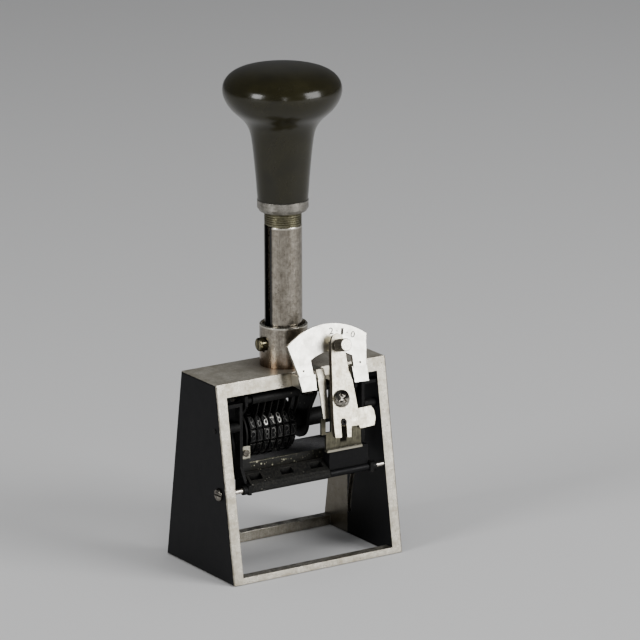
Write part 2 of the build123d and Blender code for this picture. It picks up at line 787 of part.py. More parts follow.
save("frame", make_frame())
save("collar", make_collar())
save("guide_pin", make_guide_pin())
save("spring_seat", make_spring_seat())
save("side_screw", make_side_screw())
save("cross_rod", rod_x(ROD_R, -INNER_X - ROD_SEAT, INNER_X + ROD_SEAT, ROD_Y, ROD_Z))
save("guide_strip_right", right_strip)
save("guide_strip_left", mirror(right_strip, Plane.YZ) - screw_hole)
save("strip_rivets", make_strip_rivets())
save("front_apron", make_apron())
save("side_cover", make_side_cover())
save("dial_sector", make_sector())
save("mechanism_plate", make_mechanism_plate())
save("dial_posts", make_dial_posts())
save("pivot_screw", make_pivot_screw())
save("click_blade", make_click_blade())

save("setting_lever", make_setting_lever())
save("tail_stud", make_tail_stud())
save("lever_button", make_lever_button())
save("release_tab", make_release_tab())

save("plunger_tube", make_tube())
save("threaded_neck", make_neck())
save("ferrule", make_ferrule())
save("knob", make_knob())
save("spring_cap", make_spring_cap())
save("return_spring", make_return_spring())
save("crosshead", make_crosshead())
save("cage_screws", make_cage_screws())
save("cage_plate_right", right_cage)
save("cage_plate_left", mirror(right_cage, Plane.YZ))
save("cage_plate_inner", make_inner_plate())
save("wheel_axle", make_axle())
save("axle_spacers", make_axle_spacers())
save("index_disc", make_index_disc())
save("pawl_shaft", make_pawl_shaft())
save("pawl_spring", make_pawl_spring())
save("detent_comb", make_detent_comb())
save("feed_pawl", make_feed_pawl())
for wheel in range(WHEEL_COUNT):
    save(f"number_wheel_{wheel + 1}", make_number_wheel(wheel))

save("pad_tray", make_pad_tray())
save("ink_pad", make_ink_pad())
save("pad_arm_right", right_arm)
save("pad_arm_left", mirror(right_arm, Plane.YZ))
save("follower_pins", make_follower_pins())
save("pad_clip", make_pad_clip())
save("clip_screw", make_clip_screw())
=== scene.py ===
import json
import math

import bmesh
import bpy
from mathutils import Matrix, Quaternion, Vector, noise


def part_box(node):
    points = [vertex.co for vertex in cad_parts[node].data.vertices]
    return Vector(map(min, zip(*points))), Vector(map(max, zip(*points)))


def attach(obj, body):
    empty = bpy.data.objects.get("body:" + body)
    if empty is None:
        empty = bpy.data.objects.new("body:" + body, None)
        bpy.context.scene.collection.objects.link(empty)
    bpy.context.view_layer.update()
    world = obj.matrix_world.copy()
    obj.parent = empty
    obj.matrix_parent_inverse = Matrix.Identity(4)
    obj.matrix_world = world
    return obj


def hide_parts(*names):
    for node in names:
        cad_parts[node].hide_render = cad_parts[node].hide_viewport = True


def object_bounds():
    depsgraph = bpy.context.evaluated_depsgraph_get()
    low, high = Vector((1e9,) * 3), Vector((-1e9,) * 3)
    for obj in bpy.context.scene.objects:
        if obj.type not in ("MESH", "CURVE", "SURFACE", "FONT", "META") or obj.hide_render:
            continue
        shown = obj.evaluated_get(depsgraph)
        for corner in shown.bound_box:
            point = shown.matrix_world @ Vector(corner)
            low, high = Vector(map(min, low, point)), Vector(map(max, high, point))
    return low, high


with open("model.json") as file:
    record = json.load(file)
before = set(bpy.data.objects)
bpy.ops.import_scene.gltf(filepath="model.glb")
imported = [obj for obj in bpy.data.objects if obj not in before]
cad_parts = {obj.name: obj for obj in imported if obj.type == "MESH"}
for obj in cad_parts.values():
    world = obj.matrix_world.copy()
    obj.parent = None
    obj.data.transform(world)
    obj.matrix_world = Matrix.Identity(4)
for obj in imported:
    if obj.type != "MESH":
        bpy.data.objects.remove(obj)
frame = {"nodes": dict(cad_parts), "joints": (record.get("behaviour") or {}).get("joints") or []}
cad_low, cad_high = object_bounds()

MM = 0.001
WHEELS = 7
PLACES = 12
DIGITS = 10
# The figure that each wheel shows at the front, from left to right, and the wheels with worn type, which also
# carry a painted highlight on their upper front figures.
FRONT_DIGITS = (5, 7, 8, 3, 7, 5, 2)
WORN_HIGHLIT_WHEELS = (2, 3, 4)

# Places that the finishes follow, in millimetres.
FRAME_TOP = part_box("frame")[1].z / MM
FRAME_HALF_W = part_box("frame")[1].x / MM
COLLAR_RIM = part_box("collar")[1].z / MM
TUBE_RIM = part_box("plunger_tube")[1].z / MM
PLATE_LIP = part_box("mechanism_plate")[0].z / MM
ROD_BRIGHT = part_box("cross_rod")[1].x / MM - 5.1
TRAY_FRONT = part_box("pad_tray")[0].y / MM
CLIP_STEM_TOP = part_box("pad_clip")[1].z / MM - 4.5
# The painted shade strip on the plate is seen through the lever's slot, so it lies to the right of the stud.
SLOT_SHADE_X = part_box("tail_stud")[1].x / MM + 3.6
WHEEL_LOW, WHEEL_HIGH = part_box("number_wheel_1")
AXLE_Z = (WHEEL_LOW.z + WHEEL_HIGH.z) / 2 / MM
ROW_LOW, ROW_HIGH = AXLE_Z + 2.6, AXLE_Z + 7.4

# Raised type on the wheels, its middle measured from the wheel's left side, and the stamped
# figures on the dial with their angles from upright. A weight fattens or thins the strokes.
RIM_MIDDLE = 1.05 * MM
TYPE_ROOT, TYPE_TIP = 9.6 * MM, 10.07 * MM
TYPE_HEIGHT = 3.9 * MM
TYPE_WIDTH, TYPE_WIDTH_1 = 1.45 * MM, 0.7 * MM
TYPE_WEIGHT = -0.022
DIAL_RADIUS = 24.5 * MM
DIAL_MARKS = [("2", 5.4), ("1", 16.2), ("0", 27.0), (".", 11.1), (".", 21.2)]
DIAL_HEIGHT = 2.4 * MM
DIAL_WIDTH, DIAL_WIDTH_1 = 1.7 * MM, 1.0 * MM
DIAL_DOT = 0.45 * MM
DIAL_DEPTH = 0.06 * MM
DIAL_WEIGHT = 0.004

# The felt's grid, its rounding, the crown and sink of its top, and the grain of its surface.
FELT_CUTS = 23
FELT_ROUNDING = 0.035
FELT_CROWN, FELT_SINK = 0.25 * MM, 0.3 * MM
FELT_GRAIN, FELT_GRAIN_DEPTH = 0.9 / MM, 0.10 * MM

# The camera, fitted to the photo: its target and distance in metres, its angles in radians.
LOOK_AT = Vector((0.01437, -0.00203, 0.08639))
LOOK_DISTANCE = 1.69
LOOK_AZIMUTH, LOOK_ELEVATION = 0.57484, 0.26782
LOOK_ROLL = -0.0035
LENS = 262.6

# The point that the lights turn round, and the floor, which lies just under the part.
LIGHT_AT = Vector((0, 0, 0.08))
FLOOR_HALF = 6.0
FLOOR_GAP = 0.0002


# ---------------------------------------------------------------- material graphs


class Graph:
    """A material's node tree. x, y and z are millimetres in the object's own frame."""

    def __init__(self, name, edge_mm=0.12):
        self.material = bpy.data.materials.new(name)
        self.material.use_nodes = True
        self.tree = self.material.node_tree
        self.tree.nodes.clear()
        self.shader = self.node("ShaderNodeBsdfPrincipled")
        output = self.node("ShaderNodeOutputMaterial")
        self.tree.links.new(self.shader.outputs[0], output.inputs[0])
        coords = self.node("ShaderNodeTexCoord")
        scaled = self.node("ShaderNodeVectorMath", {0: coords.outputs["Object"]}, operation="SCALE")
        scaled.inputs["Scale"].default_value = 1 / MM
        self.place = scaled.outputs[0]
        self.x, self.y, self.z = self.xyz(self.place)[:]
        self.facing_x, self.facing_y, self.facing_z = self.xyz(coords.outputs["Normal"])[:]
        self.round = self.node("ShaderNodeBevel", {"Radius": edge_mm * MM}, samples=4).outputs[0]

    def node(self, kind, inputs=None, **settings):
        made = self.tree.nodes.new(kind)
        for key, value in settings.items():
            setattr(made, key, value)
        for key, value in (inputs or {}).items():
            self.put(made.inputs[key], value)
        return made

    def put(self, socket, value):
        if isinstance(value, bpy.types.NodeSocket):
            self.tree.links.new(value, socket)
        else:
            socket.default_value = value

    def set(self, **values):
        """Sets the shader's inputs by name, with _ for a space."""
        for key, value in values.items():
            self.put(self.shader.inputs[key.replace("_", " ")], value)

    def math(self, operation, a, b=0.0):
        return self.node("ShaderNodeMath", {0: a, 1: b}, operation=operation).outputs[0]

    def plus(self, a, b):
        return self.math("ADD", a, b)

    def times(self, a, b):
        return self.math("MULTIPLY", a, b)

    def most(self, a, b):
        return self.math("MAXIMUM", a, b)

    def least(self, a, b):
        return self.math("MINIMUM", a, b)

    def absolute(self, a):
        return self.math("ABSOLUTE", a)

    def rest(self, a):
        """What a leaves of 1."""
        return self.math("SUBTRACT", 1.0, a)

    def ramp(self, value, low, high, start=0.0, end=1.0):
        """Goes from start to end as value goes from low to high, and stays there."""
        inputs = {"Value": value, "From Min": low, "From Max": high, "To Min": start, "To Max": end}
        return self.node("ShaderNodeMapRange", inputs).outputs[0]

    def xyz(self, vector):
        return self.node("ShaderNodeSeparateXYZ", {0: vector}).outputs

    def noise(self, scale, detail=4.0, rough=0.6, stretch=(1.0, 1.0, 1.0)):
        """Noise from 0 to 1, with that many cells per millimetre."""
        mapped = self.node("ShaderNodeMapping", {"Vector": self.place, "Scale": stretch}).outputs[0]
        inputs = {"Vector": mapped, "Scale": scale, "Detail": detail, "Roughness": rough}
        return self.node("ShaderNodeTexNoise", inputs).outputs[0]

    def specks(self, scale, share):
        """1 in small scattered spots, 0 elsewhere."""
        inputs = {"Vector": self.place, "Scale": scale}
        cells = self.node("ShaderNodeTexVoronoi", inputs)
        near = self.ramp(cells.outputs["Distance"], 0.12, 0.26, 1.0, 0.0)
        chosen = self.ramp(self.xyz(cells.outputs["Color"])[0], 1 - share, 1 - share + 0.02)
        return self.times(near, chosen)

    def mix(self, factor, a, b):
        made = self.node("ShaderNodeMix", data_type="RGBA")
        self.put(made.inputs[0], factor)
        self.put(made.inputs[6], a)
        self.put(made.inputs[7], b)
        return made.outputs[2]

    def blend(self, factor, a, b):
        """A number between a and b."""
        made = self.node("ShaderNodeMix", data_type="FLOAT")
        self.put(made.inputs[0], factor)
        self.put(made.inputs[2], a)
        self.put(made.inputs[3], b)
        return made.outputs[0]

    def edges(self, low=0.02, high=0.16):
        """1 along the sharp edges, 0 on flat faces."""
        normal = self.node("ShaderNodeNewGeometry").outputs["Normal"]
        dot = self.node("ShaderNodeVectorMath", {0: self.round, 1: normal}, operation="DOT_PRODUCT")
        return self.ramp(dot.outputs["Value"], 1 - high, 1 - low, 1.0, 0.0)

    def crevices(self, reach_mm, low=0.35, high=0.85):
        """Painted shade: 1 in corners and pockets, 0 on open faces."""
        corner_shade = self.node("ShaderNodeAmbientOcclusion", {"Distance": reach_mm * MM}, samples=8)
        return self.ramp(corner_shade.outputs["AO"], low, high, 1.0, 0.0)

    def bump(self, height, depth_mm, strength=1.0):
        inputs = {"Height": height, "Distance": depth_mm * MM, "Strength": strength}
        inputs["Normal"] = self.round
        self.set(Normal=self.node("ShaderNodeBump", inputs).outputs[0])


def rgb(r, g, b):
    return (r, g, b, 1.0)


def plated(name, light, dark, rough, grain=(1, 1, 1), grain_rough=0.10, mottle=0.35, pits=0.05):
    """Nickel, brass or steel: brushed along one axis, mottled, with small pits."""
    g = Graph(name)
    cloud = g.ramp(g.noise(0.28, 7.0, 0.68), 0.40, 0.62)
    fine = g.noise(0.8, 6.0, 0.75)
    brush = g.noise(3.0, 4.0, 0.65, grain)
    pit = g.specks(1.3, pits)
    tone = g.times(cloud, mottle)
    tone = g.plus(tone, g.times(g.ramp(fine, 0.46, 0.64), mottle * 0.8))
    colour = g.mix(tone, light, dark)
    colour = g.mix(g.ramp(brush, 0.35, 0.7, 0.0, mottle * 0.7), colour, dark)
    colour = g.mix(g.times(pit, 0.75), colour, rgb(0.03, 0.027, 0.02))
    worn = g.ramp(brush, 0.2, 0.8, rough - grain_rough, rough + grain_rough)
    worn = g.plus(worn, g.times(cloud, 0.10))
    g.set(Base_Color=colour, Roughness=worn, Metallic=1.0)
    height = g.plus(g.times(brush, 0.7), g.times(pit, -1.2))
    g.bump(g.plus(height, g.times(fine, 1.2)), 0.03, 0.7)
    return g.material


def blackened(name, base, wear, rough=0.42, wear_share=0.6, speck_share=0.03, dust=0.25, grit=0.08):
    """Black lacquer or ink-soaked steel: worn to metal along its edges, with dust and specks, and painted
    shade in its corners and pockets.
    """
    g = Graph(name, 0.16)
    cloud = g.noise(0.35, 7.0, 0.68)
    fine = g.noise(1.1, 6.0, 0.75)
    rub = g.times(g.edges(), g.ramp(cloud, 0.42, 0.58, 0.0, wear_share))
    rub = g.plus(rub, g.times(g.specks(0.9, speck_share), 0.8))
    rub = g.least(rub, 1.0)
    grey = rgb(base[0] * 3.2 + 0.006, base[1] * 3.0 + 0.006, base[2] * 2.6 + 0.005)
    colour = g.mix(g.ramp(fine, 0.44, 0.66, 0.0, dust), base, grey)
    # Painted shade: corners and pockets go near-black and rough.
    corner_shade = g.crevices(2.5, 0.50, 0.92)
    colour = g.mix(rub, colour, wear)
    g.set(Base_Color=g.mix(corner_shade, colour, rgb(0.001, 0.001, 0.001)), Metallic=g.blend(rub, 0.0, 1.0))
    worn = g.blend(rub, g.ramp(cloud, 0.3, 0.7, rough - 0.08, rough + 0.12), 0.32)
    g.set(Roughness=g.blend(corner_shade, worn, 0.9))
    g.set(Specular_IOR_Level=0.14)
    g.bump(g.plus(fine, g.times(cloud, 0.8)), grit, 0.9)
    return g.material


def frame_black(g, across, outer, ragged, below):
    """Where the frame is black: its sides, less the chips, its window's front half, and under its top, where
    the black is painted shade.
    """
    lacquer = g.ramp(g.plus(across, ragged), 0.68, 0.74)
    low = g.ramp(g.z, 4.0, 22.0, 1.0, 0.0)
    front = g.ramp(g.y, -21.0, -8.0, 1.0, 0.15)
    chips = g.times(g.ramp(g.noise(0.75, 4.0, 0.75), 0.76, 0.78), g.times(low, front))
    specks = g.times(g.specks(0.7, 0.14), g.ramp(g.z, 12.0, 16.0, 0.85, 0.0))
    bare = g.least(g.plus(chips, specks), 1.0)
    outside = g.times(g.times(lacquer, outer), g.rest(bare))
    inside = g.times(g.rest(outer), g.ramp(across, 0.6, 0.7))
    inside = g.times(inside, g.ramp(g.plus(g.y, g.times(ragged, 1.6)), 7.0, 7.4, 1.0, 0.0))
    # Painted shade: under the top, behind its front edge, the frame is painted black.
    under = g.times(below, g.ramp(g.plus(g.y, g.times(ragged, 6.0)), -15.0, -12.0))
    return g.most(g.most(outside, inside), under)


def frame_nickel(g, across, outer, below, top, cloud, fine, rise, ink):
    """The frame's bare nickel: mottled, brown round the collar, dark where it is inky, with painted shade in
    corners, on its top, underneath and on the window's inner walls, and a painted highlight along its edges.
    """
    nickel = g.mix(g.ramp(cloud, 0.40, 0.62, 0.0, 0.75), rgb(0.60, 0.565, 0.485), rgb(0.29, 0.26, 0.195))
    nickel = g.mix(g.ramp(fine, 0.50, 0.68, 0.0, 0.45), nickel, rgb(0.17, 0.148, 0.105))
    nickel = g.mix(g.ramp(rise, 0.42, 0.70, 0.0, 0.30), nickel, rgb(0.20, 0.175, 0.125))
    # Painted shade: darker in corners and pockets.
    frame_corner_shade = g.times(g.crevices(3.0, 0.30, 0.80), 0.8)
    nickel = g.mix(frame_corner_shade, nickel, rgb(0.06, 0.05, 0.033))
    # Painted highlight: the sharp edges are lightened.
    nickel = g.mix(g.times(g.edges(), 0.6), nickel, rgb(0.95, 0.93, 0.86))
    # Painted shade: the top faces are darker.
    nickel = g.mix(g.times(top, 0.3), nickel, rgb(0.20, 0.19, 0.165))
    # Painted shade: the window's inner side walls are darker.
    inner_wall_shade = g.times(g.rest(outer), g.times(g.ramp(across, 0.6, 0.7), 0.85))
    nickel = g.mix(inner_wall_shade, nickel, rgb(0.13, 0.115, 0.09))
    collar = g.node("ShaderNodeVectorMath", {0: g.place, 1: (0, 0, FRAME_TOP)}, operation="DISTANCE")
    away = g.plus(collar.outputs["Value"], g.times(cloud, 9.0))
    nickel = g.mix(g.times(g.ramp(away, 13.0, 21.0, 1.0, 0.0), 0.65), nickel, rgb(0.12, 0.085, 0.05))
    # Painted shade: the faces that look down under the top are darker.
    nickel = g.mix(g.times(below, 0.8), nickel, rgb(0.085, 0.078, 0.055))
    nickel = g.mix(g.times(g.specks(0.9, 0.06), 0.8), nickel, rgb(0.04, 0.034, 0.024))
    return g.mix(g.times(ink, 0.85), nickel, rgb(0.012, 0.011, 0.012))


def frame_finish():
    """Nickel front, back and top; black lacquer on the sides; black in the window's front half, and painted
    shade under the top.
    """
    g = Graph("frame_finish", 0.25)
    across = g.absolute(g.facing_x)
    outer = g.ramp(g.absolute(g.x), FRAME_HALF_W - 3.4, FRAME_HALF_W - 2.4)
    cloud = g.noise(0.24, 7.0, 0.68)
    fine = g.noise(0.9, 6.0, 0.75)
    streak = g.noise(4.0, 3.0, 0.6, (0.12, 1.0, 1.0))
    rise = g.noise(4.0, 3.0, 0.6, (1.0, 1.0, 0.08))
    ragged = g.times(g.math("SUBTRACT", g.noise(0.7, 5.0, 0.7), 0.5), 0.5)
    high = g.ramp(g.z, FRAME_TOP - 12.0, FRAME_TOP - 11.0)
    below = g.times(g.ramp(g.facing_z, -0.8, -0.6, 1.0, 0.0), high)
    top = g.ramp(g.facing_z, 0.7, 0.8)
    sill = g.times(top, g.ramp(g.z, 6.0, 5.0))
    ink = g.times(sill, g.ramp(g.noise(0.22, 5.0, 0.65), 0.40, 0.58))

    black = frame_black(g, across, outer, ragged, below)
    nickel = frame_nickel(g, across, outer, below, top, cloud, fine, rise, ink)
    paint = g.mix(g.ramp(cloud, 0.3, 0.75, 0.0, 0.6), rgb(0.0035, 0.0035, 0.004), rgb(0.010, 0.010, 0.011))
    g.set(Base_Color=g.mix(black, nickel, paint))
    bare_metal = g.rest(g.most(black, g.times(ink, 0.9)))
    # The top faces high up are made less metallic, so that they take the top lamp's diffuse light.
    g.set(Metallic=g.times(bare_metal, g.blend(g.times(top, high), 1.0, 0.45)))
    metal_rough = g.plus(g.ramp(streak, 0.2, 0.8, 0.18, 0.30), g.times(cloud, 0.12))
    g.set(Roughness=g.blend(black, metal_rough, g.ramp(cloud, 0.3, 0.7, 0.34, 0.50)))
    g.set(Specular_IOR_Level=0.10)
    height = g.plus(g.plus(g.times(fine, 0.5), g.times(rise, 0.4)), g.times(black, 1.2))
    g.bump(height, 0.05, 0.6)
    return g.material


def knob_plastic():
    """Dark olive moulded plastic, polished, with hairline turning marks and a little dust."""
    g = Graph("knob_plastic", 0.1)
    cloud = g.noise(0.10, 4.0, 0.6)
    rings = g.noise(3.0, 2.0, 0.5, (0.02, 0.02, 1.0))
    dust = g.specks(0.8, 0.03)
    colour = g.mix(g.ramp(cloud, 0.3, 0.7), rgb(0.0105, 0.0092, 0.0036), rgb(0.0185, 0.0165, 0.0062))
    colour = g.mix(g.times(dust, 0.25), colour, rgb(0.08, 0.08, 0.06))
    g.set(Base_Color=colour, Metallic=0.0)
    g.set(Roughness=g.ramp(g.noise(0.5, 5.0, 0.7), 0.3, 0.7, 0.16, 0.23))
    g.set(Specular_IOR_Level=0.36, IOR=1.5, Coat_Weight=0.08, Coat_Roughness=0.15)
    height = g.plus(g.times(rings, 0.3), g.times(dust, 0.5))
    g.bump(height, 0.012, 0.35)
    return g.material


def tarnished(name, foot, reach, rim, slot_darkening):
    """Brushed nickel: brown towards the height foot, which on the collar is a painted reflection of the brown
    frame top; a painted highlight at the rim; near-black round a slot.
    """
    g = Graph(name, 0.12)
    cloud = g.noise(0.30, 7.0, 0.70)
    fine = g.noise(0.85, 7.0, 0.78)
    brush = g.noise(2.6, 4.0, 0.65, (1.0, 1.0, 0.05))
    pit = g.specks(0.7, 0.06)
    colour = g.mix(g.ramp(cloud, 0.38, 0.64, 0.0, 0.75), rgb(0.47, 0.43, 0.365), rgb(0.20, 0.175, 0.14))
    colour = g.mix(g.ramp(fine, 0.44, 0.70, 0.0, 0.7), colour, rgb(0.085, 0.073, 0.058))
    colour = g.mix(g.ramp(brush, 0.4, 0.72, 0.0, 0.55), colour, rgb(0.12, 0.10, 0.075))
    # Painted highlight: a bright ring just under the rim.
    colour = g.mix(g.ramp(g.z, rim - 1.0, rim - 0.6, 0.0, 0.8), colour, rgb(0.72, 0.68, 0.58))
    # Brown towards the foot; on the collar, a painted reflection of the brown frame top round its base.
    foot_brown = g.ramp(g.plus(g.z, g.times(cloud, -reach)), foot - reach * 0.6, foot + reach * 0.6, 0.75, 0.0)
    colour = g.mix(foot_brown, colour, rgb(0.16, 0.095, 0.05))
    colour = g.mix(g.times(pit, 0.8), colour, rgb(0.02, 0.018, 0.015))
    # Near-black in a band round the slot on the -x side.
    slot_band = g.plus(g.absolute(g.y), g.times(fine, 0.9))
    slot_band = g.times(g.ramp(slot_band, 2.7, 3.3, slot_darkening, 0.0), g.ramp(g.x, -2.0, -1.0, 1.0, 0.0))
    colour = g.mix(slot_band, colour, rgb(0.008, 0.0075, 0.007))
    g.set(Base_Color=colour, Metallic=g.rest(g.times(slot_band, 0.8)))
    g.set(Roughness=g.plus(g.ramp(brush, 0.2, 0.8, 0.12, 0.26), g.times(fine, 0.14)))
    height = g.plus(g.times(brush, 0.6), g.times(fine, 1.0))
    g.bump(g.plus(height, g.times(pit, -1.0)), 0.03, 0.6)
    return g.material


def rod_finish():
    """The cross rod: bright pin ends, black in between."""
    g = Graph("rod_finish", 0.1)
    fine = g.noise(1.6, 5.0, 0.7)
    along = g.plus(g.absolute(g.x), g.times(fine, 1.2))
    bright = g.ramp(along, ROD_BRIGHT, ROD_BRIGHT + 0.4)
    metal = g.mix(g.ramp(fine, 0.45, 0.75), rgb(0.62, 0.58, 0.52), rgb(0.20, 0.18, 0.15))
    g.set(Base_Color=g.mix(bright, rgb(0.010, 0.010, 0.011), metal), Metallic=bright)
    g.set(Roughness=g.ramp(fine, 0.3, 0.7, 0.22, 0.40))
    g.bump(fine, 0.02, 0.5)
    return g.material


def type_finish(name, wear_share):
    """Raised figures: bare worn faces, lighter on the upper front as a painted highlight, inky elsewhere."""
    g = Graph(name, 0.05)
    # Painted highlight: the upper front figures take the light metal colour; elsewhere only a fifth of it, as
    # wear.
    front_row_highlight = g.times(g.ramp(g.z, ROW_LOW - 0.6, ROW_LOW), g.ramp(g.z, ROW_HIGH, ROW_HIGH + 0.6, 1.0, 0.0))
    front_row_highlight = g.times(front_row_highlight, g.ramp(g.y, -3.0, -2.0, 1.0, 0.0))
    wear = g.ramp(g.noise(0.9, 5.0, 0.7), 0.30, 0.52)
    fine = g.noise(3.0, 4.0, 0.7)
    worn = g.mix(wear, rgb(0.10, 0.10, 0.095), rgb(0.52, 0.51, 0.48))
    inked = g.mix(wear, rgb(0.006, 0.006, 0.006), rgb(0.075, 0.075, 0.072))
    share = g.times(g.plus(g.times(front_row_highlight, 0.8), 0.2), wear_share)
    colour = g.mix(share, inked, worn)
    colour = g.mix(g.ramp(fine, 0.5, 0.7, 0.0, 0.6), colour, rgb(0.02, 0.02, 0.02))
    g.set(Base_Color=colour, Metallic=1.0, Roughness=g.ramp(fine, 0.3, 0.7, 0.26, 0.46))
    g.bump(fine, 0.02, 0.6)
    return g.material


def felt_finish():
    """Ink-soaked felt: short fibres, matt, darker in wet patches."""
    g = Graph("felt_finish", 0.1)
    fibre = g.noise(3.2, 6.0, 0.8, (1.0, 2.4, 1.0))
    wet = g.noise(0.18, 4.0, 0.6)
    colour = g.mix(g.ramp(fibre, 0.35, 0.75), rgb(0.005, 0.005, 0.007), rgb(0.026, 0.026, 0.032))
    colour = g.mix(g.ramp(wet, 0.45, 0.65, 0.0, 0.7), colour, rgb(0.004, 0.004, 0.007))
    g.set(Base_Color=colour, Roughness=g.ramp(wet, 0.4, 0.7, 0.92, 0.55))
    g.set(Sheen_Weight=0.25, Sheen_Roughness=0.5)
    g.bump(fibre, 0.18, 0.8)
    return g.material


def stamped_finish():
    """The stamped figures on the dial: dull grey metal."""
    g = Graph("stamped_finish", 0.03)
    fine = g.noise(4.0, 4.0, 0.7)
    colour = g.mix(g.ramp(fine, 0.3, 0.8), rgb(0.020, 0.018, 0.016), rgb(0.085, 0.08, 0.07))
    g.set(Base_Color=colour, Metallic=0.2, Roughness=g.ramp(fine, 0.3, 0.7, 0.45, 0.60))
    g.set(Specular_IOR_Level=0.1)
    g.bump(fine, 0.02, 0.5)
    return g.material


def lever_finish():
    """Worn nickel with a brown bloom; the fold down the left side is dark brown, except along its edges."""
    g = Graph("lever_nickel", 0.12)
    side = g.ramp(g.facing_x, -0.75, -0.6, 1.0, 0.0)
    cloud = g.ramp(g.noise(0.40, 7.0, 0.70), 0.42, 0.60)
    fine = g.noise(1.1, 6.0, 0.75)
    brush = g.noise(4.0, 3.0, 0.6, (1.0, 1.0, 0.08))
    colour = g.mix(g.times(cloud, 0.75), rgb(0.58, 0.55, 0.46), rgb(0.33, 0.29, 0.21))
    colour = g.mix(g.ramp(fine, 0.48, 0.66, 0.0, 0.55), colour, rgb(0.19, 0.165, 0.115))
    colour = g.mix(g.times(g.specks(0.9, 0.06), 0.7), colour, rgb(0.06, 0.05, 0.04))
    dark_brown = g.mix(g.ramp(fine, 0.40, 0.75), rgb(0.030, 0.024, 0.017), rgb(0.15, 0.125, 0.09))
    bare = g.times(side, g.rest(g.times(g.edges(), 0.7)))
    g.set(Base_Color=g.mix(bare, colour, dark_brown), Metallic=g.blend(bare, 1.0, 0.6))
    g.set(Roughness=g.ramp(brush, 0.2, 0.8, 0.28, 0.42))
    g.bump(g.plus(fine, g.times(brush, 0.6)), 0.02, 0.6)
    return g.material


def button_finish():
    """A knurled pull knob: bright on its face and on the crests, dark brown in the grooves."""
    g = Graph("knurled_nickel", 0.10)
    face = g.ramp(g.facing_y, -0.90, -0.80, 1.0, 0.0)
    crest = g.times(g.edges(0.01, 0.10), 0.8)
    shine = g.most(face, crest)
    fine = g.noise(2.2, 5.0, 0.7)
    metal = g.mix(g.ramp(fine, 0.42, 0.75), rgb(0.72, 0.69, 0.61), rgb(0.34, 0.31, 0.25))
    dark_brown = g.mix(g.ramp(fine, 0.35, 0.75), rgb(0.022, 0.018, 0.013), rgb(0.11, 0.09, 0.065))
    g.set(Base_Color=g.mix(shine, dark_brown, metal), Metallic=g.blend(shine, 0.7, 1.0))
    g.set(Roughness=g.ramp(fine, 0.3, 0.7, 0.26, 0.40))
    g.bump(fine, 0.02, 0.6)
    return g.material


def plate_finish():
    """Olive, vertically scratched steel, with a painted highlight on its bent lower edge and painted shade
    near the lever, in its corners and in the strip seen through the lever's slot.
    """
    g = Graph("plate_steel", 0.12)
    cloud = g.noise(0.3, 6.0, 0.65)
    brush = g.noise(5.0, 4.0, 0.7, (1.0, 1.0, 0.04))
    aside = g.absolute(g.math("SUBTRACT", g.x, SLOT_SHADE_X))
    above_lip = g.ramp(g.z, PLATE_LIP + 2.6, PLATE_LIP + 3.4)
    # Painted shade: a near-black strip behind the lever's slot.
    slot_shade = g.times(g.ramp(aside, 1.2, 1.7, 1.0, 0.0), above_lip)
    # Painted highlight: the bent lower lip and the sharp edges are lightened.
    lip = g.ramp(g.z, PLATE_LIP + 0.9, PLATE_LIP + 0.5, 0.0, 0.8)
    lip = g.most(g.times(g.edges(), 0.8), lip)
    colour = g.mix(g.ramp(brush, 0.35, 0.70), rgb(0.24, 0.225, 0.16), rgb(0.065, 0.060, 0.042))
    colour = g.mix(g.ramp(cloud, 0.42, 0.66, 0.0, 0.7), colour, rgb(0.040, 0.037, 0.028))
    # Painted shade: darker near the lever and in corners.
    colour = g.mix(g.crevices(6.0, 0.50, 0.95), colour, rgb(0.006, 0.0055, 0.004))
    colour = g.mix(slot_shade, colour, rgb(0.008, 0.007, 0.005))
    g.set(Base_Color=g.mix(lip, colour, rgb(0.50, 0.47, 0.38)), Metallic=1.0)
    g.set(Roughness=g.ramp(brush, 0.2, 0.8, 0.28, 0.44))
    g.bump(g.plus(brush, g.times(cloud, 0.5)), 0.03, 0.7)
    return g.material


def clip_finish():
    """The pad clip: a rubbed square top over a near-black stem."""
    g = Graph("clip_nickel", 0.12)
    fine = g.noise(1.6, 5.0, 0.7)
    edge = g.plus(g.z, g.times(fine, 1.4))
    bare_metal = g.ramp(edge, CLIP_STEM_TOP + 0.5, CLIP_STEM_TOP + 0.9)
    metal = g.mix(g.ramp(fine, 0.42, 0.75), rgb(0.55, 0.53, 0.43), rgb(0.20, 0.18, 0.13))
    g.set(Base_Color=g.mix(bare_metal, rgb(0.012, 0.012, 0.011), metal), Metallic=bare_metal)
    g.set(Roughness=g.ramp(fine, 0.3, 0.7, 0.30, 0.46), Specular_IOR_Level=0.25)
    g.bump(fine, 0.03, 0.6)
    return g.material


def tray_finish():
    """The pad tray: inky metal with clusters of rubbed, yellowish spots on its front lip."""
    g = Graph("tray_metal", 0.16)
    cloud = g.noise(0.35, 6.0, 0.65)
    fine = g.noise(1.4, 5.0, 0.7)
    spots = g.plus(g.specks(0.62, 0.55), g.specks(1.1, 0.50))
    spots = g.times(spots, g.ramp(g.y, TRAY_FRONT + 3.0, TRAY_FRONT + 1.5, 0.12, 1.0))
    spots = g.times(spots, g.ramp(g.x, -9.0, 0.0, 1.0, 0.15))
    rub = g.times(g.edges(), g.ramp(g.x, -9.0, 0.0, 1.0, 0.2))
    rub = g.least(g.plus(spots, rub), 1.0)
    colour = g.mix(g.ramp(fine, 0.40, 0.75), rgb(0.008, 0.008, 0.007), rgb(0.035, 0.033, 0.024))
    g.set(Base_Color=g.mix(rub, colour, rgb(0.72, 0.69, 0.50)), Metallic=g.blend(rub, 0.0, 1.0))
    g.set(Roughness=g.ramp(fine, 0.3, 0.7, 0.30, 0.48), Specular_IOR_Level=0.25)
    g.bump(g.plus(fine, cloud), 0.05, 0.7)
    return g.material


